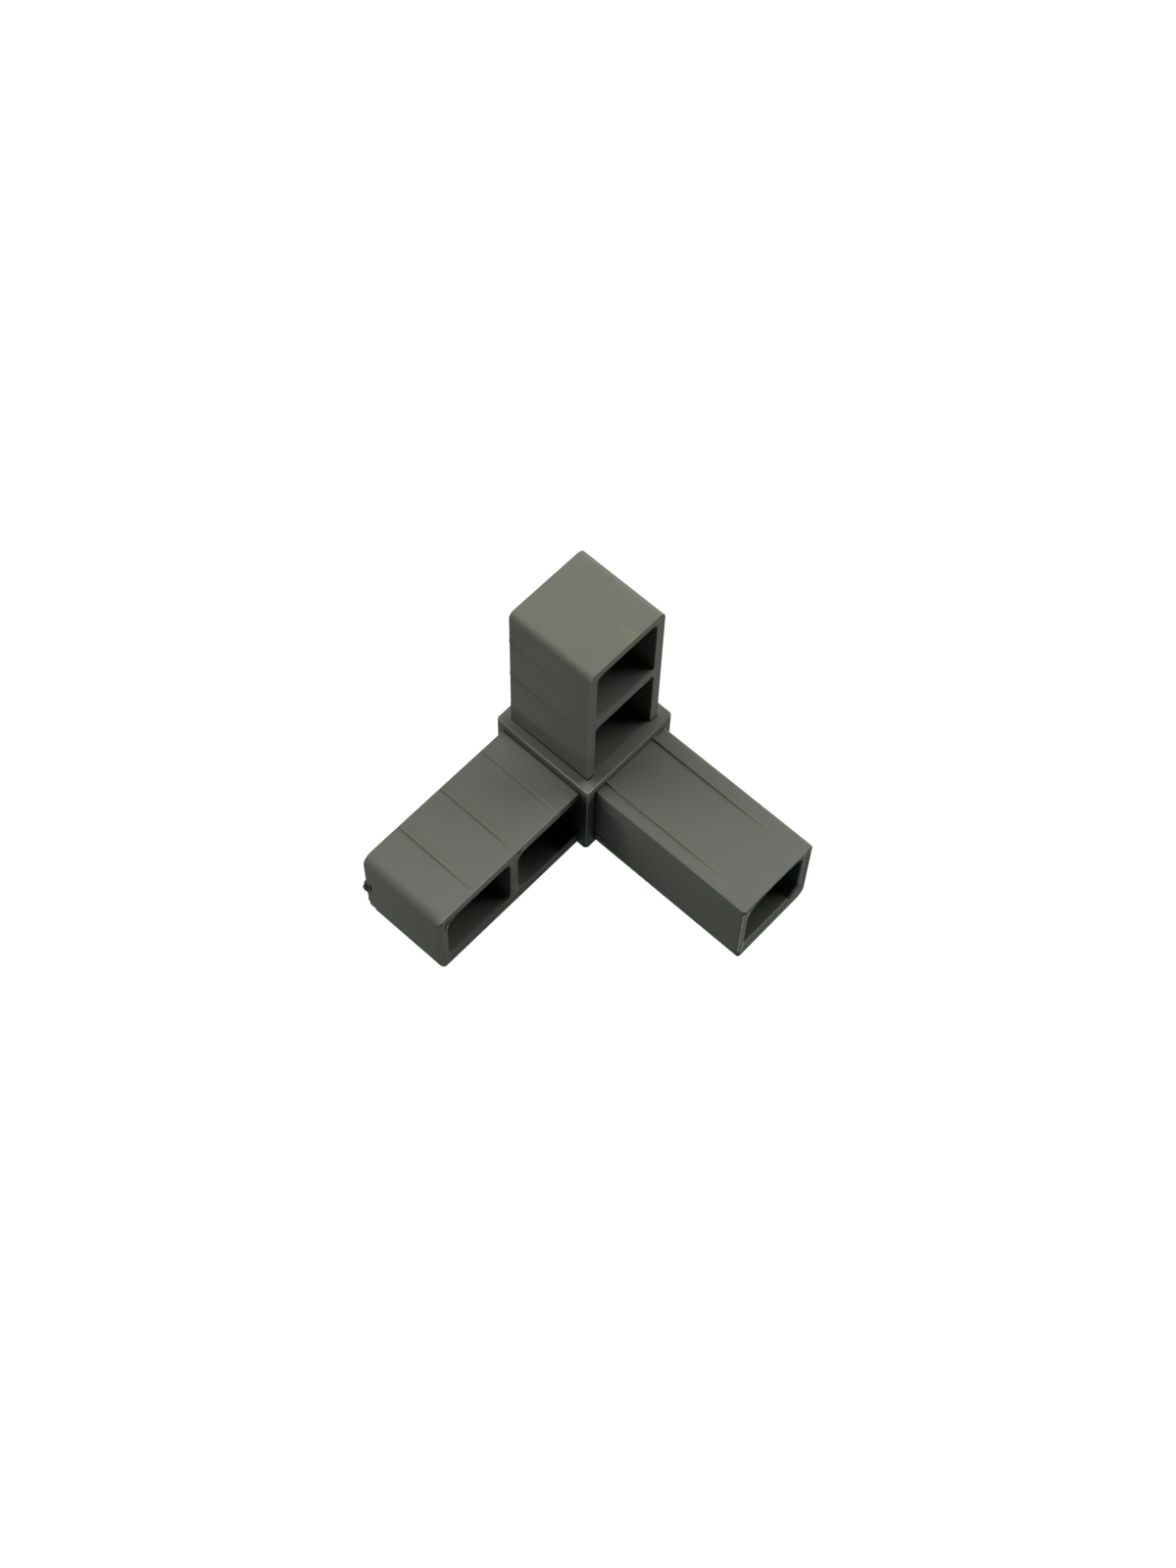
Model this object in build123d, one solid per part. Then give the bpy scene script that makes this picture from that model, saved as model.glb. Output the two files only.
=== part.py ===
from build123d import *
import os
from math import radians, sqrt, tan

# Three way corner connector for 25 x 25 x 2 mm square tube: one moulding in grey plastic.
# A cube carries three square arms at right angles: +Z (upright), -Y (side) and +X (front).
# The tubes push over the arms and butt against the cube.
# Origin: centre of the cube's underside, +Z up. Everything is drawn from the mould along +X:
# the front arm is one long hollow, and the other two arms are cored from their +X side.

# Driving dimensions, in millimetres and degrees
cube_size = 25.0            # the tube's outside width, so that the faces lie flush
arm_width = 20.5            # across an arm, between the faces that carry ribs
front_arm_height = 20.8     # the front arm's height, a little over its width
back_step = 2.05            # from the cube's -X face in to the upright and side arms
front_step = 2.25           # from the cube's +X face in to the upright and side arms
upright_length = 38.0       # each arm, from the cube's face to its end
side_length = 39.3
front_length = 38.7
arm_root = 3.0              # how far an arm is buried in the cube

outer_draft = 0.25          # the arms' own taper along the draw
pocket_draft = 1.0          # the taper of the pockets
hollow_draft = 0.4          # the taper of the front arm's long core

rim_radius = 0.35           # round the cored faces and their pockets
back_edge_radius = 0.2      # the parting edge, at the -X side of the arms
back_wall = 2.0             # behind the pockets
end_wall = 2.0              # at the end of a cored arm

upright_wall_left = 1.8     # the upright arm's -Y wall
upright_wall_right = 2.1    # the upright arm's +Y wall
upright_web_place = 17.4    # from the cube's top to the web
upright_web = 2.5
side_wall_top = 2.2
side_wall_bottom = 3.4
side_web_place = 17.6
side_web = 2.1

# Radii along X, as pairs: the upright arm's -Y and +Y sides, the side arm's underside and top
upright_end_radii = (1.4, 1.9)          # the arm's end edges
upright_inner_radii = (1.0, 0.6)        # inner pocket, beside the web
upright_outer_web_radii = (0.5, 0.5)    # outer pocket, beside the web
upright_outer_end_radii = (1.6, 1.4)    # outer pocket, at the arm's end
side_end_radii = (0.9, 2.4)
side_inner_radii = (1.7, 2.6)
side_outer_web_radii = (2.0, 1.7)
side_outer_end_radii = (0.8, 2.0)
side_nose_radius = 1.3                  # the upright edge between its end and its +X face

cube_corner_radius = 1.0    # upright edges of the cube
cube_edge_radius = 0.3      # the cube's crisp edges, at its top and its outer corner
cube_base_radius = 1.8      # round the underside

front_wall_left = 1.6       # the front arm's -Y wall, at its mouth
front_wall_right = 2.7
front_wall_bottom = 4.4
front_wall_top = 0.9        # the thinnest place, at the top of the hollow's arch
arch_rise = 0.7             # how far the hollow's roof is curved upwards
hollow_back_wall = 2.1      # where the hollow stops, behind the cube's -X face
hollow_shoulder_radius = 4.2
hollow_corner_radius = 2.7
hollow_sharp_radius = 0.6
hollow_chamfer = 2.45       # the flat across its +Y, bottom corner
mouth_edge_radius = 0.3     # outside edge of the mouth
mouth_lead_in = 0.35        # bevel round the inside of the mouth
mouth_nose_radius = 0.9     # the mouth's upright edge at -Y

front_edge_crisp = 0.3      # long edges of the front arm: top at -Y
front_edge_soft = 1.0       # top at +Y
front_edge_base = 1.5       # bottom at -Y
front_edge_round = 2.2      # bottom at +Y

rib_root = 1.4              # crush ribs: width at the buried root, about 1.1 at the face
rib_crest = 0.9             # width along the crest
rib_height = 0.27           # how far they stand proud where they are highest
rib_bury = 0.3              # how far the root is buried
rib_sink = 0.03             # how far the crest has sunk below the face at its faded end
rib_first = 6.0             # upright and side arms: first rib from the cube
rib_pitch = 11.6
upright_rib_ramps = (0.5, 1.0, 2.0)     # how far each rib, from the cube, is drawn out towards the end
side_rib_ramps = (0, 0, 0)
rib_inset = 0.25            # they start this far from the -X face, clear of its rounded edge
rib_run_out = 1.0           # they have faded this far before the +X face
rib_full_share = 0.6        # the share of its length over which a rib hardly falls
rib_fall = 0.04             # how far it falls in that share
front_rib_offset = 6.85     # front arm: each side of the middle
front_rib_length = 32.5     # on its top and underside
front_side_rib_length = 8.0  # on its two sides
front_side_rib_height = 0.2  # they are fainter there

# Derived places
half_cube = cube_size / 2
half_arm = arm_width / 2
half_front_height = front_arm_height / 2
arm_back = -half_cube + back_step           # x of the cored arms' closed face
arm_front = half_cube - front_step          # x of their open face
arm_depth = arm_front - arm_back
mouth_x = half_cube + front_length
axis_z = half_cube                          # height of the side and front arms' axes


def cube():
    """The corner block, crisp at its top and outer corner and softer elsewhere."""
    block = Box(cube_size, cube_size, cube_size)
    uprights = block.edges().filter_by(Axis.Z)
    outer = uprights.sort_by(Axis((0, 0, 0), (1, -1, 0)))[-1]
    block = fillet([edge for edge in uprights if edge != outer], cube_corner_radius)
    outer = block.edges().filter_by(Axis.Z).sort_by(Axis((0, 0, 0), (1, -1, 0)))[-1]
    block = fillet(outer, cube_edge_radius)
    block = fillet(block.faces().sort_by(Axis.Z)[-1].edges(), cube_edge_radius)
    return fillet(block.faces().sort_by(Axis.Z)[0].edges(), cube_base_radius)


def draw_slab(y_low, y_high, z_low, z_high, radii, x_start, depth, draft, towards):
    """A block drawn along X: a rectangle in Y and Z with its own corner radii, tapered with depth.

    radii are for the corners (low Y, low Z), (high Y, low Z), (high Y, high Z), (low Y, high Z).
    """
    places = [(y_low, z_low), (y_high, z_low), (y_high, z_high), (y_low, z_high)]
    with BuildSketch(Plane.YZ.offset(x_start)) as outline:
        with BuildLine():
            Polyline(*places, close=True)
        make_face()
        for place, radius in zip(places, radii):
            if radius > 0:
                corner = outline.vertices().sort_by_distance((*place, 0))[0]
                fillet(corner, radius)
    return extrude(outline.sketch, towards * depth, taper=draft)


def corner_cut(x, y, radius):
    """What rounds an upright edge at x and y, whose outside looks to +X and -Y.

    Its arc starts a hair outside the two faces, so that it cuts across them.
    """
    clear = radius / 25
    inset = radius * (1 - sqrt(0.5))
    outside = radius + 2 * clear
    with BuildSketch(Plane.XY) as outline:
        with BuildLine():
            ThreePointArc((x - radius, y - clear), (x - inset, y + inset), (x + clear, y + radius))
            Polyline((x + clear, y + radius), (x + outside, y + radius), (x + outside, y - outside),
                     (x - radius, y - outside), (x - radius, y - clear))
        make_face()
    return extrude(outline.sketch, 2 * cube_size, both=True)


def rib(length, height, run_out, ramp=0):
    """A crush rib along +X on a face at z = 0: highest at x = 0, faded into the face at the end.

    It reaches back beyond x = 0 for run_out, so that it starts cleanly at an edge.
    A ramp draws its +Y side out to that width, so that it is stepped on the other side only.
    """
    foot = rib_crest / 2 + ramp * (1 + rib_bury / height) if ramp else rib_root / 2

    def section(x, crest):
        return Plane.YZ.offset(x) * Polygon(
            (-rib_root / 2, -rib_bury),
            (foot, -rib_bury),
            (rib_crest / 2, crest),
            (-rib_crest / 2, crest),
            align=None,
        )

    sections = [section(-run_out, height),
                section(length * rib_full_share, height - rib_fall),
                section(length, -rib_sink)]
    return loft(sections, ruled=True)


def cored_arm(length, wall_low, wall_high, web_place, web,
              end_radii, inner_radii, outer_web_radii, outer_end_radii):
    """An arm along +Z from the cube's centre, with two pockets open to +X and a web between them.

    The radii are pairs, for the -Y and the +Y side.
    """
    foot = half_cube
    end = foot + length
    spread = arm_depth * tan(radians(outer_draft)) / 2      # so that arm_width is met half way
    reach = half_arm + spread
    arm = draw_slab(-reach, reach, foot - arm_root, end + spread, (0, 0, *reversed(end_radii)),
                    arm_back, arm_depth, outer_draft, 1)
    pocket_depth = arm_depth - back_wall
    y_low = -half_arm + spread + wall_low
    y_high = half_arm - spread - wall_high
    web_low = foot + web_place
    web_high = web_low + web
    roof = end - end_wall
    inner = draw_slab(y_low, y_high, foot - 2 * arm_root, web_low,
                      (0, 0, *reversed(inner_radii)), arm_front, pocket_depth, pocket_draft, -1)
    outer = draw_slab(y_low, y_high, web_high, roof,
                      (*outer_web_radii, *reversed(outer_end_radii)),
                      arm_front, pocket_depth, pocket_draft, -1)
    arm = arm - inner - outer
    faces = arm.faces().sort_by(Axis.X)
    for face, radius in ((faces[-1], rim_radius), (faces[0], back_edge_radius)):
        rim = face.edges().filter_by(lambda edge: edge.center().Z > foot - arm_root / 2)
        arm = fillet(rim, radius)
    return arm


def cored_arm_ribs(ramps):
    """The crush ribs of an arm along +Z, on its -Y and +Y faces, highest at the parting edge."""
    crest_length = arm_depth - rib_inset - rib_run_out
    ribs = []
    for number, ramp in enumerate(ramps):
        height = half_cube + rib_first + number * rib_pitch
        place = Location((arm_back + rib_inset, -half_arm, height)) * Rotation(90, 0, 0)
        low = place * rib(crest_length, rib_height, 0, ramp)
        ribs += [low, mirror(low, about=Plane.XZ)]
    return ribs


def front_arm():
    """The hollow arm's outside, drawn along its own axis."""
    radii = (front_edge_base, front_edge_round, front_edge_soft, front_edge_crisp)
    arm = draw_slab(-half_arm, half_arm, -half_front_height, half_front_height, radii,
                    half_cube - arm_root, arm_root + front_length, 0, 1)
    return fillet(arm.faces().sort_by(Axis.X)[-1].edges(), mouth_edge_radius)


def hollow():
    """The long core: nearly square, with an arched roof, from a bevelled mouth through the cube."""
    left = -half_arm + front_wall_left
    right = half_arm - front_wall_right
    floor = -half_front_height + front_wall_bottom
    roof = half_front_height - front_wall_top
    shoulder = roof - arch_rise
    middle = (left + right) / 2
    with BuildSketch(Plane.YZ.offset(mouth_x)) as outline:
        with BuildLine():
            Polyline((left, shoulder), (left, floor), (right, floor), (right, shoulder))
            ThreePointArc((right, shoulder), (middle, roof), (left, shoulder))
        make_face()
        corners = ((left, shoulder, hollow_shoulder_radius), (right, shoulder, hollow_corner_radius),
                   (left, floor, hollow_sharp_radius))
        for y, z, radius in corners:
            corner = outline.vertices().sort_by_distance((y, z, 0))[0]
            fillet(corner, radius)
        chamfer(outline.vertices().sort_by_distance((right, floor, 0))[0], hollow_chamfer)
    depth = front_length + cube_size - hollow_back_wall
    core = extrude(outline.sketch, -depth, taper=hollow_draft)
    mouth = offset(outline.sketch, mouth_lead_in, kind=Kind.INTERSECTION)
    return core + extrude(mouth, -1.1 * mouth_lead_in, taper=45)


def front_arm_ribs():
    """The crush ribs along the front arm: long above and below, short on the two sides."""
    ribs = []
    for turn in (0, 90, 180, 270):
        on_a_side = turn in (90, 270)
        reach = half_arm if on_a_side else half_front_height
        length = front_side_rib_length if on_a_side else front_rib_length
        height = front_side_rib_height if on_a_side else rib_height
        for side in (-1, 1):
            place = Rotation(turn, 0, 0) * Location((half_cube, side * front_rib_offset, reach))
            ribs.append(place * rib(length, height, 1))
    return ribs


upright_arm = cored_arm(upright_length, upright_wall_left, upright_wall_right,
                        upright_web_place, upright_web, upright_end_radii,
                        upright_inner_radii, upright_outer_web_radii, upright_outer_end_radii)
side_arm = cored_arm(side_length, side_wall_bottom, side_wall_top,
                     side_web_place, side_web, side_end_radii,
                     side_inner_radii, side_outer_web_radii, side_outer_end_radii)
to_side = Rotation(90, 0, 0)                # turns the upright arm's way, +Z, to -Y

side_arm = to_side * side_arm
side_arm = side_arm - corner_cut(arm_front, side_arm.faces().sort_by(Axis.Y)[0].center().Y, side_nose_radius)

body = cube() + upright_arm + side_arm
body = body + front_arm() - corner_cut(mouth_x, -half_arm, mouth_nose_radius)
body = body - hollow()
ribs = cored_arm_ribs(upright_rib_ramps) + front_arm_ribs()
ribs += [to_side * piece for piece in cored_arm_ribs(side_rib_ramps)]
for piece in ribs:
    body = body + piece
connector = Location((0, 0, axis_z)) * body

os.makedirs("parts", exist_ok=True)
export_step(connector, "parts/connector.step")
print("connector:", len(connector.solids()), "solid,", round(connector.volume / 1000, 2), "cm3")
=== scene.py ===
# Three way corner connector for square tube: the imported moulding, dressed as grey moulded plastic.
# It stands on its cube, with one arm up (+Z), one to the side (-Y) and one to the front (+X).
import math

import bpy
from mathutils import Matrix, Vector


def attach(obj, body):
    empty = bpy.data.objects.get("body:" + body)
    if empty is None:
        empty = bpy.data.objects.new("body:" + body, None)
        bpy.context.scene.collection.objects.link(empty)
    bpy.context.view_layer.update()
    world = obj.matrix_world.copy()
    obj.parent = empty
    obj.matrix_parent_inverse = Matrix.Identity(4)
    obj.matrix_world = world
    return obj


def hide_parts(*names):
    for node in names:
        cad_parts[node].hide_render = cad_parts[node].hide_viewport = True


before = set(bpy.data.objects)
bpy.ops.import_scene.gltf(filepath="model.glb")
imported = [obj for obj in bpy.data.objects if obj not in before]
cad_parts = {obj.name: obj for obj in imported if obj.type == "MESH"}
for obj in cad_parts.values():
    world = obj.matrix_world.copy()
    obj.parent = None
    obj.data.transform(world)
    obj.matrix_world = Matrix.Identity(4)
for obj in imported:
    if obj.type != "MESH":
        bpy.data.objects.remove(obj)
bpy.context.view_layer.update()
millimetre = 0.001


# ---- The moulding -------------------------------------------------------------------------------
# One shot of grey nylon: the cube and its three arms, cored out and ribbed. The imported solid's
# facets are joined into one skin, and small bites are torn out where the gate was broken off.

def deselect():
    """Leaves edit mode and selects nothing, because an operator acts on all that is selected."""
    if bpy.context.mode != "OBJECT":
        bpy.ops.object.mode_set(mode="OBJECT")
    bpy.ops.object.select_all(action="DESELECT")


def take_up(piece):
    """Makes a piece the one that the next operators work on."""
    deselect()
    piece.select_set(True)
    bpy.context.view_layer.objects.active = piece


same_place = 0.001 * millimetre     # facets' corners nearer than this are one
level = math.radians(0.6)           # facets that lean by less lie in one face
crisp = math.radians(28)            # edges sharper than this aren't smoothed over
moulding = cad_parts["connector"].copy()
moulding.data = moulding.data.copy()
moulding.name = "moulding"
moulding.parent = None
for key in list(moulding.keys()):
    del moulding[key]
bpy.context.scene.collection.objects.link(moulding)
take_up(moulding)
bpy.ops.object.mode_set(mode="EDIT")
bpy.ops.mesh.select_all(action="SELECT")
bpy.ops.mesh.remove_doubles(threshold=same_place)
bpy.ops.mesh.dissolve_limited(angle_limit=level)
bpy.ops.mesh.quads_convert_to_tris(quad_method="BEAUTY", ngon_method="BEAUTY")
bpy.ops.object.mode_set(mode="OBJECT")
bpy.ops.mesh.customdata_custom_splitnormals_clear()
bpy.ops.object.shade_smooth_by_angle(angle=crisp)


def settle(piece):
    """Puts a piece's object at the origin, with its place in its mesh and its faces outwards."""
    take_up(piece)
    bpy.ops.object.transform_apply(location=True, rotation=True, scale=True)
    bpy.ops.object.mode_set(mode="EDIT")
    bpy.ops.mesh.select_all(action="SELECT")
    bpy.ops.mesh.normals_make_consistent(inside=False)
    bpy.ops.object.mode_set(mode="OBJECT")


def ragged_lump(name, place, size, shake, seed, turn):
    """A lump of torn plastic, in millimetres: a block cut finely and shaken out of shape."""
    deselect()
    bpy.ops.mesh.primitive_cube_add(size=1, location=[v * millimetre for v in place])
    lump = bpy.context.object
    lump.name = name
    lump.rotation_euler = (0, 0, math.radians(turn))
    bpy.ops.object.mode_set(mode="EDIT")
    bpy.ops.mesh.select_all(action="SELECT")
    bpy.ops.transform.resize(value=[v * millimetre for v in size])
    bpy.ops.mesh.subdivide(number_cuts=3)
    bpy.ops.transform.vertex_random(offset=shake * millimetre, uniform=0.3, normal=0.4, seed=seed)
    bpy.ops.object.mode_set(mode="OBJECT")
    settle(lump)
    return lump


def cut_away(piece, tool):
    """Cuts the tool's form out of a piece. A cut that fails and eats the piece is undone."""
    take_up(piece)
    spare = piece.data.copy()
    cut = piece.modifiers.new("cut", "BOOLEAN")
    cut.operation = "DIFFERENCE"
    cut.solver = "MANIFOLD"
    cut.object = tool
    bpy.ops.object.modifier_apply(modifier=cut.name)
    if len(piece.data.polygons) < len(spare.polygons) / 2:
        print("A cut failed and is left out:", tool.name)
        piece.data, spare = spare, piece.data
    bpy.data.meshes.remove(spare)
    bpy.data.objects.remove(tool)


bites = (
    # place, size, shake, turn: beside the gate, then along the end's ragged lower corner
    ((-9.15, -52.05, 11.6), (0.7, 1.1, 2.6), 0.2, 8),
    ((-10.65, -51.9, 6.4), (0.8, 0.9, 2.2), 0.2, 40),
    ((-10.45, -51.75, 3.6), (0.8, 1.0, 2.2), 0.25, 25),
    ((-9.9, -51.8, 2.8), (2.9, 1.2, 1.5), 0.25, 12),
    # under the web of the side arm, where the rim is chipped
    ((10.35, -29.6, 5.3), (0.5, 1.0, 0.5), 0.12, 0),
)
first_bite_seed = 11
for number, (place, size, shake, turn) in enumerate(bites):
    cut_away(moulding, ragged_lump("bite", place, size, shake, first_bite_seed + number, turn))

# The lowest corner of the cube is rubbed round: all of a small block outside a ball is cut away
tip = Vector((12.38, -12.38, 1.15)) * millimetre
inwards = Vector((-0.62, 0.62, 0.48)).normalized()
ball_radius, rubbed = 1.5 * millimetre, 0.36 * millimetre
deselect()
bpy.ops.mesh.primitive_ico_sphere_add(subdivisions=5, radius=ball_radius,
                                      location=tip + inwards * (ball_radius + rubbed))
ball = bpy.context.object
deselect()
block_size, block_shift = 3 * millimetre, 0.6
bpy.ops.mesh.primitive_cube_add(size=block_size,
                                location=tip - inwards * block_shift * millimetre)
block = bpy.context.object
cut_away(block, ball)
cut_away(moulding, block)
take_up(moulding)
bpy.ops.object.shade_smooth_by_angle(angle=crisp)


def add(tree, kind, inputs=None, **settings):
    """A shader node. Its inputs, by name or number, take values or other nodes' outputs."""
    made = tree.nodes.new("ShaderNode" + kind)
    for name, value in settings.items():
        setattr(made, name, value)
    for name, value in (inputs or {}).items():
        if isinstance(value, bpy.types.NodeSocket):
            tree.links.new(value, made.inputs[name])
        else:
            made.inputs[name].default_value = value
    return made


def math_of(tree, operation, first, second=0.0):
    """The sum, product or the like of two values."""
    return add(tree, "Math", {0: first, 1: second}, operation=operation).outputs[0]


def vector_of(tree, operation, first, second):
    """The same for two vectors."""
    return add(tree, "VectorMath", {0: first, 1: second}, operation=operation).outputs["Vector"]


def dot_of(tree, first, second):
    return add(tree, "VectorMath", {0: first, 1: second}, operation="DOT_PRODUCT").outputs["Value"]


def shader_group(name, inputs, outputs):
    """An empty node group with named sockets, its input node and its output node."""
    group = bpy.data.node_groups.new(name, "ShaderNodeTree")
    for way, sockets in (("INPUT", inputs), ("OUTPUT", outputs)):
        for socket, (kind, value) in sockets.items():
            made = group.interface.new_socket(socket, in_out=way, socket_type="NodeSocket" + kind)
            if way == "INPUT":
                made.default_value = value
    start = group.nodes.new("NodeGroupInput")
    end = group.nodes.new("NodeGroupOutput")
    return group, start.outputs, end.inputs


zero = (0.0, 0.0, 0.0)

# Distance to a straight line between two places, with a reach of its own at each end
near_line, given, result = shader_group("near_line", {
    "Position": ("Vector", zero), "Start": ("Vector", zero), "End": ("Vector", zero),
    "Start Reach": ("Float", 0.2), "End Reach": ("Float", 0.2), "Softness": ("Float", 0.2),
}, {"Mask": ("Float", 0.0)})
run = vector_of(near_line, "SUBTRACT", given["End"], given["Start"])
gone = vector_of(near_line, "SUBTRACT", given["Position"], given["Start"])
share = add(near_line, "Clamp", {0: math_of(
    near_line, "DIVIDE", dot_of(near_line, gone, run), dot_of(near_line, run, run))}).outputs[0]
along = add(near_line, "VectorMath", {0: run, "Scale": share}, operation="SCALE").outputs["Vector"]
away = add(near_line, "VectorMath", {0: gone, 1: along}, operation="DISTANCE").outputs["Value"]
reach = add(near_line, "Mix", {"Factor": share, "A": given["Start Reach"],
                               "B": given["End Reach"]}).outputs["Result"]
edge = add(near_line, "MapRange", {
    "Value": away, "From Min": reach,
    "From Max": math_of(near_line, "ADD", reach, given["Softness"]),
    "To Min": 1.0, "To Max": 0.0}, interpolation_type="SMOOTHSTEP")
near_line.links.new(edge.outputs["Result"], result["Mask"])

# Inside a box with soft sides
inside_box, given, result = shader_group("inside_box", {
    "Position": ("Vector", zero), "Low": ("Vector", zero), "High": ("Vector", zero),
    "Softness": ("Float", 0.2)}, {"Mask": ("Float", 0.0)})
outside = add(inside_box, "SeparateXYZ", {0: vector_of(
    inside_box, "MAXIMUM",
    vector_of(inside_box, "SUBTRACT", given["Low"], given["Position"]),
    vector_of(inside_box, "SUBTRACT", given["Position"], given["High"]))}).outputs
furthest = math_of(inside_box, "MAXIMUM", math_of(
    inside_box, "MAXIMUM", outside["X"], outside["Y"]), outside["Z"])
edge = add(inside_box, "MapRange", {"Value": furthest, "From Min": 0.0,
                                    "From Max": given["Softness"], "To Min": 1.0,
                                    "To Max": 0.0}, interpolation_type="SMOOTHSTEP")
inside_box.links.new(edge.outputs["Result"], result["Mask"])

# Clouds a few millimetres wide, as the pigment is never quite evenly mixed
mottling, given, result = shader_group("mottling", {
    "Position": ("Vector", zero), "Contrast": ("Float", 0.5)}, {"Mask": ("Float", 0.0)})
wide_share, fine_share = 0.65, 0.35
wide = add(mottling, "TexNoise", {"Vector": given["Position"], "Scale": 0.16, "Detail": 2.0})
fine = add(mottling, "TexNoise", {"Vector": given["Position"], "Scale": 0.9, "Detail": 3.0})
both = math_of(mottling, "ADD", math_of(mottling, "MULTIPLY", wide.outputs[0], wide_share),
               math_of(mottling, "MULTIPLY", fine.outputs[0], fine_share))
middle = 0.5
spread = math_of(mottling, "MULTIPLY", math_of(mottling, "SUBTRACT", both, middle),
                 given["Contrast"])
cloud = add(mottling, "Clamp", {0: math_of(mottling, "ADD", spread, middle)}).outputs[0]
mottling.links.new(cloud, result["Mask"])

# The fine grain that a spark-eroded mould prints on the plastic
mould_grain, given, result = shader_group("mould_grain", {
    "Position": ("Vector", zero), "Fineness": ("Float", 6.0)}, {"Height": ("Float", 0.0)})
grain = add(mould_grain, "TexNoise", {"Vector": given["Position"], "Scale": given["Fineness"],
                                      "Detail": 4.0, "Roughness": 0.6})
mould_grain.links.new(grain.outputs[0], result["Height"])


sheen, sheen_spread = 0.3, 0.04         # how the plastic shines, and how its roughness varies
grain_depth = 0.05 * millimetre


def plastic(name, cool, warm, contrast, roughness, bump, touches):
    """A moulded plastic: two near tones mottled together, with soft-edged touches over them."""
    material = bpy.data.materials.new(name)
    material.use_nodes = True
    tree = material.node_tree
    shader = tree.nodes["Principled BSDF"]
    place = add(tree, "TexCoord").outputs["Object"]
    place = add(tree, "VectorMath", {0: place, "Scale": 1 / millimetre},
                operation="SCALE").outputs["Vector"]
    clouds = add(tree, "Group", node_tree=mottling)
    clouds.inputs["Contrast"].default_value = contrast
    tree.links.new(place, clouds.inputs["Position"])
    colour = add(tree, "Mix", {0: clouds.outputs["Mask"], 6: (*cool, 1), 7: (*warm, 1)},
                 data_type="RGBA").outputs[2]
    for kind, values, way, paint in touches:
        mask = add(tree, "Group", node_tree=kind)
        names = [socket.name for socket in mask.inputs]
        tree.links.new(place, mask.inputs[0])
        for socket, value in zip(names[1:], values):
            mask.inputs[socket].default_value = value
        colour = add(tree, "Mix", {0: mask.outputs["Mask"], 6: colour, 7: (*paint, 1)},
                     data_type="RGBA", blend_type=way).outputs[2]
    tree.links.new(colour, shader.inputs["Base Color"])
    shine = add(tree, "MapRange", {"Value": clouds.outputs["Mask"],
                                   "To Min": roughness - sheen_spread,
                                   "To Max": roughness + sheen_spread})
    tree.links.new(shine.outputs["Result"], shader.inputs["Roughness"])
    shader.inputs["Specular IOR Level"].default_value = sheen
    grains = add(tree, "Group", node_tree=mould_grain)
    tree.links.new(place, grains.inputs["Position"])
    relief = add(tree, "Bump", {"Strength": bump, "Distance": grain_depth,
                                "Height": grains.outputs["Height"]})
    tree.links.new(relief.outputs["Normal"], shader.inputs["Normal"])
    return material


def coat(piece, material):
    """Gives a piece one material, in place of any that it has."""
    piece.data.materials.clear()
    piece.data.materials.append(material)


# Paints that multiply the plastic's own colour: painted shade, darkest first, then painted light
deep, dark, dusky = (0.12, 0.14, 0.12), (0.26, 0.3, 0.26), (0.40, 0.44, 0.40)
shaded, faint_shade = (0.72, 0.75, 0.72), (0.86, 0.87, 0.86)
clear, bright_rim = (1.2, 1.22, 1.22), (2.0, 2.05, 2.0)
# and paints that are laid over it: painted edge highlights, the end's blush, the ribs' olive tint
# and a speck
edge_highlight, blushed = (0.27, 0.27, 0.22), (0.152, 0.15, 0.105)
olive, speck = (0.138, 0.136, 0.096), (0.04, 0.04, 0.04)

# Where the moulding's faces lie, in millimetres from the middle of the cube's underside
cube_face, cube_top = 12.5, 25.0
arm_face, arm_top = 10.3, 22.75         # an arm's sides, and the top of the two level arms
upright_end, mouth = 63.0, 51.05

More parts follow.
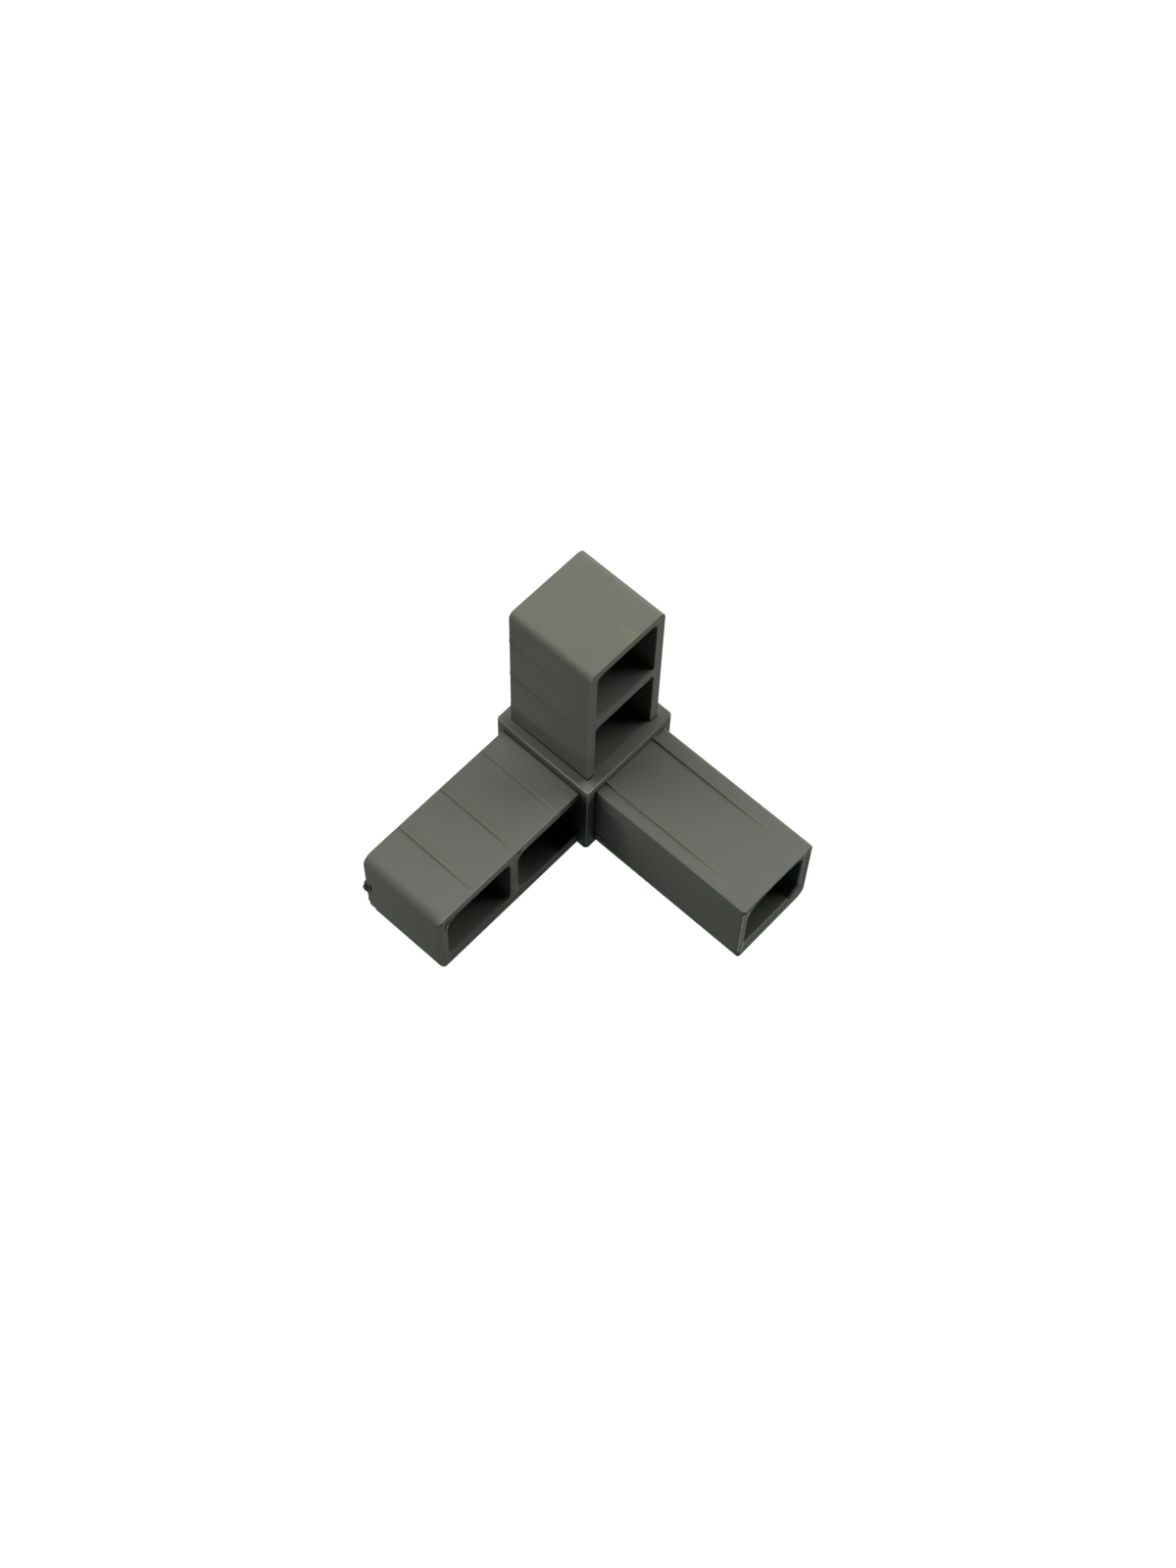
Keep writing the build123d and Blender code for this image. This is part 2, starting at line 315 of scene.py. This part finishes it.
touches = (
    # painted shade in the hollow and the pockets, and painted light on the side arm's pocket floor
    (inside_box, ((-11, -9.0, 6.4), (50.7, 7.9, 22.0), 0.4), "MULTIPLY", (0.41, 0.51, 0.43)),
    (inside_box, ((-8.3, -8.4, 25.1), (9.2, 8.3, 42.5), 1.0), "MULTIPLY", shaded),
    (inside_box, ((-8.3, -8.4, 44.9), (9.2, 8.3, 61.0), 1.0), "MULTIPLY", faint_shade),
    (inside_box, ((-8.3, -49.9, 5.0), (9.2, -32.2, 20.6), 1.0), "MULTIPLY", shaded),
    (inside_box, ((-4.0, -29.3, 6.6), (9.6, -21.0, 7.5), 4.0), "MULTIPLY", bright_rim),
    (inside_box, ((-8.3, -18.0, 4.0), (10.1, -12.3, 22.5), 0.3), "MULTIPLY", (0.27, 0.36, 0.3)),
    # painted light on the cored faces, the side arm's end and the mouth's rim; painted shade on the
    # mouth's right strip
    (inside_box, ((9.9, -10.4, 25.3), (10.6, 7.9, 62.6), 0.2), "MULTIPLY", clear),
    (inside_box, ((9.9, 7.9, 25.3), (10.6, 10.4, 62.3), 0.2), "MULTIPLY", (1.34, 1.38, 1.36)),
    (inside_box, ((9.9, -50.0, 2.0), (10.6, -13.0, 22.6), 0.2), "MULTIPLY", clear),
    (inside_box, ((9.8, -51.8, 2.4), (10.6, -50.2, 20.8), 0.3), "MULTIPLY", (1.58, 1.58, 1.58)),
    (near_line, ((10.05, -51.5, 20.5), (10.05, -51.5, 3.0), 0.35, 0.35, 0.4),
     "MULTIPLY", (1.7, 1.7, 1.7)),
    (inside_box, ((-10.6, -52.2, 2.0), (9.3, -51.5, 20.5), 0.4), "MULTIPLY", (1.1, 1.09, 1.1)),
    (near_line, ((51.1, -9.3, 21.3), (51.1, -9.3, 4.5), 0.75, 0.65, 0.3), "MULTIPLY", bright_rim),
    (inside_box, ((50.9, 8.5, 6.0), (51.4, 10.4, 21.5), 0.3), "MULTIPLY", shaded),
    # painted shade on the cube's faces close to the arms and at the upright's foot
    (inside_box, ((10.5, -12.7, -1.0), (12.1, -12.3, 22.8), 0.3), "MULTIPLY", dusky),
    (inside_box, ((-arm_face, -12.7, 22.6), (arm_face, -12.3, 24.6), 0.4), "MULTIPLY", shaded),
    (near_line, ((-arm_face, -11.3, cube_top), (9.0, -11.3, cube_top), 0.4, 0.4, 1.0),
     "MULTIPLY", (0.8, 0.81, 0.8)),
    (near_line, ((-arm_face, -arm_face, 25.5), (10.0, -arm_face, 28.5), 1.5, 2.5, 5.0),
     "MULTIPLY", (0.85, 0.86, 0.85)),
    # painted light higher up the upright, on its end and on the side arm's top near the root
    (near_line, ((-8.5, -arm_face, 36.0), (0.0, -arm_face, 52.0), 4.0, 5.0, 6.0),
     "MULTIPLY", (1.1, 1.09, 1.09)),
    (inside_box, ((-10.6, -10.6, 62.0), (10.6, 10.6, 64.0), 1.0), "MULTIPLY", (1.05, 1.05, 0.98)),
    (near_line, ((-5.0, -15.5, 22.9), (7.0, -15.5, 22.9), 2.0, 2.0, 4.0),
     "MULTIPLY", (1.14, 1.13, 1.14)),
    # painted shade at the cube's lowest corner
    (near_line, ((12.3, -12.3, 0.6), (12.3, -12.3, 2.4), 1.3, 0.9, 1.6),
     "MULTIPLY", (0.4, 0.42, 0.4)),
    # painted shade in the tight corners at the arms' roots
    (near_line, ((-arm_face, -arm_face, cube_top),
                 (arm_face, -arm_face, cube_top), 0.06, 0.1, 0.16),
     "MULTIPLY", deep),
    (near_line, ((arm_face, -arm_face, cube_top), (arm_face, -8.7, cube_top), 0.1, 0.05, 0.16),
     "MULTIPLY", deep),
    (near_line, ((arm_face, 8.2, cube_top), (arm_face, 10.2, cube_top), 0.1, 0.05, 0.16),
     "MULTIPLY", deep),
    (near_line, ((-arm_face, -cube_face, 22.8), (arm_face, -cube_face, 22.8), 0.12, 0.2, 0.25),
     "MULTIPLY", dark),
    (near_line, ((cube_face, -arm_face, 22.9), (cube_face, arm_face, 22.9), 0.1, 0.1, 0.25),
     "MULTIPLY", dusky),
    (near_line, ((cube_face, -arm_face, 3.0), (cube_face, -arm_face, 14.0), 5.0, 4.0, 6.5),
     "MULTIPLY", (0.48, 0.51, 0.48)),
    # painted light on the cube's front face beside the front arm's root
    (inside_box, ((12.3, -12.7, 0.0), (12.7, -10.6, 22.5), 0.2), "MULTIPLY", (1.9, 1.95, 1.9)),
    # painted light over the shadow under the front arm's lower short rib, and painted shade on its
    # upper rib, at its root and along its top's far edge
    (near_line, ((13.0, -10.4, 6.2), (20.5, -arm_face, 6.2), 0.15, 0.05, 0.16),
     "MULTIPLY", (1.7, 1.72, 1.7)),
    (near_line, ((14.0, -10.4, 19.9), (21.0, -arm_face, 19.9), 0.15, 0.05, 0.16),
     "MULTIPLY", faint_shade),
    (near_line, ((cube_face, -arm_face, 2.0), (cube_face, -arm_face, 22.7), 0.2, 0.2, 0.4),
     "MULTIPLY", dark),
    (near_line, ((cube_face, 10.0, 22.5), (51.0, 10.0, 22.5), 0.5, 0.5, 0.4),
     "MULTIPLY", faint_shade),
    # painted shadow lines under the upright arm's ribs, and painted highlights along the ribs'
    # crests
    (near_line, ((-arm_face, -arm_face, 53.0), (2.9, -arm_face, 53.1), 0.14, 0.0, 0.14),
     "MULTIPLY", (0.6, 0.62, 0.6)),
    (near_line, ((-arm_face, -arm_face, 41.4), (3.7, -arm_face, 41.5), 0.14, 0.0, 0.14),
     "MULTIPLY", (0.6, 0.62, 0.6)),
    (near_line, ((-7.0, -10.5, 30.6), (7.3, -10.4, 30.6), 0.04, 0.04, 0.14),
     "MULTIPLY", (1.4, 1.42, 1.4)),
    (near_line, ((3.7, -10.4, 42.3), (8.0, -arm_face, 42.3), 0.04, 0.04, 0.14),
     "MULTIPLY", (1.3, 1.32, 1.3)),
    (near_line, ((arm_face, -10.0, 42.3), (arm_face, -8.8, 41.8), 0.04, 0.04, 0.16),
     "MULTIPLY", clear),
    # painted highlights along the cube's and the mouth's edges, and painted light on the cube's top
    # by its corner
    (near_line, ((-10.5, -12.45, 24.95), (-3.0, -12.45, 24.95), -0.12, 0.02, 0.14), "MIX", edge_highlight),
    (near_line, ((-3.0, -12.45, 24.95), (12.35, -12.45, 24.95), 0.02, 0.08, 0.14), "MIX", edge_highlight),
    (near_line, ((12.45, -12.35, 24.95), (12.45, 8.5, 24.95), 0.07, -0.02, 0.14), "MIX", edge_highlight),
    (near_line, ((12.42, -12.42, 24.6), (12.42, -12.42, 3.5), 0.12, 0.03, 0.22),
     "MIX", (0.23, 0.23, 0.195)),
    (near_line, ((11.6, -11.6, cube_top), (11.9, -11.9, cube_top), 0.3, 0.3, 1.3),
     "MULTIPLY", (1.45, 1.45, 1.42)),
    (near_line, ((51.1, -9.7, 22.85), (51.1, 8.8, 22.85), 0.0, 0.06, 0.12),
     "MIX", (0.2, 0.2, 0.165)),
    (near_line, ((51.0, -9.95, 21.4), (51.0, -10.0, 5.0), 0.14, 0.1, 0.16),
     "MIX", (0.85, 0.88, 0.8)),
    (near_line, ((mouth, 7.95, 20.0), (mouth, 7.8, 9.5), 0.2, 0.2, 0.14),
     "MIX", (0.36, 0.37, 0.32)),
    (near_line, ((mouth, 7.6, 9.3), (mouth, 5.2, 6.7), 0.12, 0.12, 0.14),
     "MIX", (0.2, 0.205, 0.175)),
    (near_line, ((mouth, 5.0, 6.4), (mouth, -8.4, 6.4), 0.12, 0.12, 0.16),
     "MIX", (0.145, 0.15, 0.128)),
    # scuffs and stains
    (near_line, ((6.0, 1.9, upright_end), (10.0, 1.7, upright_end), -0.1, 1.0, 0.7),
     "MIX", blushed),
    (near_line, ((5.06, 1.15, upright_end), (5.0, 1.3, upright_end), 0.02, 0.02, 0.12),
     "MIX", speck),
    (near_line, ((9.2, -51.3, 22.4), (10.2, -50.4, 22.3), 0.3, 0.3, 0.8),
     "MIX", (0.17, 0.165, 0.125)),
    (near_line, ((51.2, 7.0, 21.9), (51.2, 9.3, 21.6), 0.1, 0.4, 0.4), "MIX", (0.2, 0.19, 0.13)),
    (near_line, ((-9.5, -30.35, 23.0), (8.8, -30.35, 23.0), 0.1, 0.06, 0.3), "MIX", olive),
    (near_line, ((-9.5, -41.9, 23.0), (5.5, -41.9, 23.0), 0.1, 0.02, 0.3), "MIX", olive),
    (near_line, ((12.7, -7.0, 23.15), (42.0, -7.0, 23.0), -0.05, 0.1, 0.28), "MIX", olive),
    (near_line, ((16.0, 6.65, 23.15), (42.0, 6.65, 23.0), 0.12, 0.1, 0.28), "MIX", olive),
    # painted light on the shaded flanks of the front arm's ribs
    (near_line, ((15.0, -7.45, 23.0), (34.0, -7.45, 22.9), 0.1, -0.06, 0.1),
     "MULTIPLY", (1.35, 1.35, 1.3)),
    (near_line, ((15.0, 6.25, 23.0), (34.0, 6.25, 22.9), 0.1, -0.06, 0.1),
     "MULTIPLY", (1.35, 1.35, 1.3)),
    # painted shade: fine dark lines along the side arm's ribs' shaded sides
    (near_line, ((-10.0, -30.8, arm_top), (9.2, -30.8, arm_top), 0.06, 0.02, 0.12),
     "MULTIPLY", shaded),
    (near_line, ((-10.0, -42.4, arm_top), (9.2, -42.4, arm_top), 0.06, 0.02, 0.12),
     "MULTIPLY", shaded),
    (near_line, ((-4.0, -19.2, arm_top), (9.0, -19.2, arm_top), 0.02, 0.06, 0.12),
     "MULTIPLY", shaded),
)
cool_grey, warm_grey = (0.119, 0.125, 0.108), (0.131, 0.134, 0.113)
grey_plastic = plastic("grey_moulded_plastic", cool_grey, warm_grey, contrast=1.4, roughness=0.5,
                       bump=0.12, touches=touches)
coat(moulding, grey_plastic)

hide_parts("connector")
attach(moulding, "root")


# ---- The torn gate ------------------------------------------------------------------------------
# The stub where the runner of plastic was broken off the end of the side arm: a ragged barb on
# its outer upright edge, pulled out to a point, its plastic mottled dark and paler.

gate = ragged_lump("torn_gate", place=(-10.4, -51.7, 10.7), size=(0.6, 0.7, 3.8), shake=0.3,
                   seed=3, turn=45)
outward = Vector((-0.75, -0.66, 0))
end_edge = Vector((-10.45, -51.75, 0))              # the outer upright edge of the arm's end
barbs = ((10.6, 1.5), (12.2, 0.7), (9.0, 0.5))      # height and how far each is pulled out
barb_height, stretch = 0.7, 1.6
for height, pull in barbs:
    for vertex in gate.data.vertices:
        far = outward.dot(vertex.co / millimetre - end_edge)
        near = max(0.0, 1 - abs(vertex.co.z / millimetre - height) / barb_height)
        vertex.co += outward * pull * near * max(0.0, far) * stretch * millimetre
smooth = gate.modifiers.new("round", "SUBSURF")
smooth.levels = smooth.render_levels = 1
take_up(gate)
bpy.ops.object.modifier_apply(modifier=smooth.name)
bpy.ops.object.shade_smooth_by_angle(angle=math.radians(50))

torn_plastic = plastic("torn_plastic", (0.03, 0.032, 0.028), (0.11, 0.115, 0.095),
                       contrast=3.0, roughness=0.6, bump=0.3, touches=())
coat(gate, torn_plastic)
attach(gate, "root")


# ---- The flash ----------------------------------------------------------------------------------
# Thin slivers of plastic that crept out between the halves of the mould and were left half torn
# off, at the corners of the pockets and of the mouth.

slivers = (
    # places along each sliver, and how wide it is
    (((10.35, -50.1, 17.6), (10.45, -50.0, 19.2), (10.4, -49.6, 20.4), (10.5, -48.6, 21.0),
      (10.35, -47.2, 21.1)), 0.5),
    (((10.35, -30.0, 21.2), (10.45, -29.2, 22.0), (10.35, -27.9, 21.9)), 0.3),
    (((51.18, 7.3, 21.6), (51.24, 8.1, 21.3), (51.2, 8.4, 20.3)), 0.5),
)
thickness, unevenness = 0.14 * millimetre, 0.07 * millimetre
narrowing = 0.8                         # how much of its width a sliver has lost at its ends
first_sliver_seed = 31
facing_x = Vector((1, 0, 0))
torn_off = []
for number, (course, width) in enumerate(slivers):
    deselect()
    bpy.ops.mesh.primitive_plane_add(size=1)
    sliver = bpy.context.object
    bpy.ops.object.mode_set(mode="EDIT")
    bpy.ops.mesh.select_all(action="SELECT")
    bpy.ops.mesh.subdivide(number_cuts=7)
    bpy.ops.object.mode_set(mode="OBJECT")
    course = [Vector(place) for place in course]
    for vertex in sliver.data.vertices:
        t = (vertex.co.x + 0.5) * (len(course) - 1)
        step = min(int(t), len(course) - 2)
        place = course[step].lerp(course[step + 1], t - step)
        across = facing_x.cross(course[step + 1] - course[step]).normalized()
        taper = 1 - abs(2 * vertex.co.x) ** 2 * narrowing
        vertex.co = (place + across * vertex.co.y * width * taper) * millimetre
    take_up(sliver)
    bpy.ops.object.mode_set(mode="EDIT")
    bpy.ops.mesh.select_all(action="SELECT")
    bpy.ops.transform.vertex_random(offset=unevenness, seed=first_sliver_seed + number)
    bpy.ops.object.mode_set(mode="OBJECT")
    body_of = sliver.modifiers.new("thickness", "SOLIDIFY")
    body_of.thickness = thickness
    body_of.offset = 0
    bpy.ops.object.modifier_apply(modifier=body_of.name)
    torn_off.append(sliver)
deselect()
for sliver in torn_off:
    sliver.select_set(True)
bpy.context.view_layer.objects.active = torn_off[0]
bpy.ops.object.join()
flash = bpy.context.object
flash.name = "torn_flash"
settle(flash)
bpy.ops.object.shade_smooth_by_angle(angle=math.radians(40))
# pale as stretched plastic is, and paler still as painted light, since the slivers lie on faces in
# shade
pale_plastic_painted_lighter = plastic("stretched_plastic_painted_lighter", (0.16, 0.16, 0.13), (0.38, 0.37, 0.29),
                       contrast=3.5, roughness=0.6, bump=0.3, touches=())
coat(flash, pale_plastic_painted_lighter)
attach(flash, "root")


# ---- The floor ----------------------------------------------------------------------------------
# A plain white table top. It lights nothing itself, as if the piece stood on a dull board.
deselect()
bpy.ops.mesh.primitive_circle_add(vertices=96, radius=3.0, fill_type="NGON")
floor = bpy.context.object
floor.name = "floor"
white = bpy.data.materials.new("white_board")
white.use_nodes = True
board = white.node_tree.nodes["Principled BSDF"]
board.inputs["Base Color"].default_value = (0.08, 0.08, 0.08, 1)
board.inputs["Roughness"].default_value = 0.9
board.inputs["Emission Color"].default_value = (1, 1, 1, 1)
board.inputs["Emission Strength"].default_value = 1.0
coat(floor, white)
floor.visible_diffuse = False
floor.visible_glossy = False
floor.visible_shadow = False


# ---- The lights ---------------------------------------------------------------------------------
# A bright room behind the piece and at its sides, as one even soft light, and little light from
# the camera's side or from the dull table below.
room = bpy.data.worlds.new("room")
bpy.context.scene.world = room
room.use_nodes = True
tree = room.node_tree
bright, dim = 1.14, 0.225
room_tint, table_tint = (1.0, 1.0, 0.99, 1), (0.86, 1.0, 0.9, 1)
light_axis = Vector((-0.884, 0.458, -0.096))     # the middle of the bright part, behind and low
towards = add(tree, "TexCoord").outputs["Generated"]
room_light = add(tree, "MapRange", {
    "Value": dot_of(tree, towards, light_axis), "From Min": -0.32, "From Max": -0.02,
    "To Min": 0.0, "To Max": bright}, interpolation_type="SMOOTHSTEP").outputs["Result"]
above = add(tree, "MapRange", {
    "Value": add(tree, "SeparateXYZ", {0: towards}).outputs["Z"], "From Min": -0.01,
    "From Max": 0.01}).outputs["Result"]
strength = add(tree, "Mix", {"Factor": above, "A": dim, "B": room_light}).outputs["Result"]
tint = add(tree, "Mix", {0: above, 6: table_tint, 7: room_tint}, data_type="RGBA").outputs[2]
seen = add(tree, "LightPath").outputs["Is Camera Ray"]      # the room is seen as plain white
strength = add(tree, "Mix", {"Factor": seen, "A": strength, "B": 1.0}).outputs["Result"]
tint = add(tree, "Mix", {0: seen, 6: tint, 7: (1, 1, 1, 1)}, data_type="RGBA").outputs[2]
tree.links.new(strength, tree.nodes["Background"].inputs["Strength"])
tree.links.new(tint, tree.nodes["Background"].inputs["Color"])
softboxes = (
    # name, degrees round the piece and above it, strength and tint
    ("right_softbox", 155, 21, 2.15, (1, 1, 1)),
    ("left_softbox", 298, 45, 1.27, (0.96, 1, 0.98)),
)
softness = math.radians(50)
for name, around, height, power, colour in softboxes:
    softbox = bpy.data.lights.new(name, "SUN")
    softbox.energy = power
    softbox.color = colour
    softbox.angle = softness
    stand = bpy.data.objects.new(name, softbox)
    stand.rotation_euler = (math.radians(90 - height), 0, math.radians(around))
    bpy.context.scene.collection.objects.link(stand)
bpy.context.scene.view_settings.view_transform = "Standard"


# ---- The camera ---------------------------------------------------------------------------------
# It looks down on the corner from between the side and front arms, turned slightly on its axis.
aim = Vector((5.191, -4.177, 8.931)) * millimetre
azimuth, elevation, roll = map(math.radians, (40.879, 61.443, 2.085))
distance = 482.61 * millimetre
camera = bpy.data.cameras.new("camera")
camera.lens = 54.5
camera.sensor_width = 36
camera.clip_start = 0.01
camera_body = bpy.data.objects.new("camera", camera)
back = Vector((math.sin(azimuth) * math.cos(elevation), -math.cos(azimuth) * math.cos(elevation),
               math.sin(elevation)))
right = Vector((0, 0, 1)).cross(back).normalized()
up = back.cross(right)
turned_right = math.cos(roll) * right + math.sin(roll) * up
turned_up = back.cross(turned_right)
camera_body.matrix_world = Matrix.Translation(aim + distance * back) @ Matrix(
    (turned_right, turned_up, back)).transposed().to_4x4()
bpy.context.scene.collection.objects.link(camera_body)
bpy.context.scene.camera = camera_body
